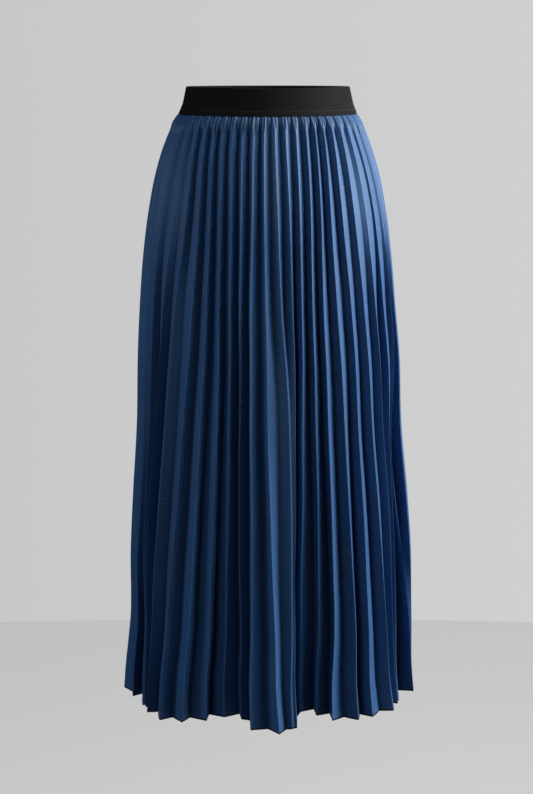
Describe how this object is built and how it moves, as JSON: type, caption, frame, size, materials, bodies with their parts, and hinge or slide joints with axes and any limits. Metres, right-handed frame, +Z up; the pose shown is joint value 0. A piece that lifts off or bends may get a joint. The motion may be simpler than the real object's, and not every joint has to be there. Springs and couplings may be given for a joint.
{
  "type": "pleated midi skirt",
  "caption": "Calf-length skirt in narrow satin pleats that widen towards the hem, on a wide elastic waistband; worn hollow form, open at the waist and the hem",
  "frame": {"origin": "the middle of the waistband, half way up it and half way across it, where the wearer's waist holds the skirt", "axes": "+Z up towards the wearer, -Y is the skirt's front, +X is the side on the viewer's right when seen from the front"},
  "size_m": [0.3935, 0.3478, 0.8227],
  "materials": {
    "pleated_satin": "blue polyester satin with a soft sheen, heat-set pleats and a narrow stitched hem",
    "waist_elastic": "matt black woven elastic"
  },
  "bodies": {
    "root": {"waistband": "waist_elastic", "skirt_front": "pleated_satin", "skirt_back": "pleated_satin"}
  },
  "joints": []
}
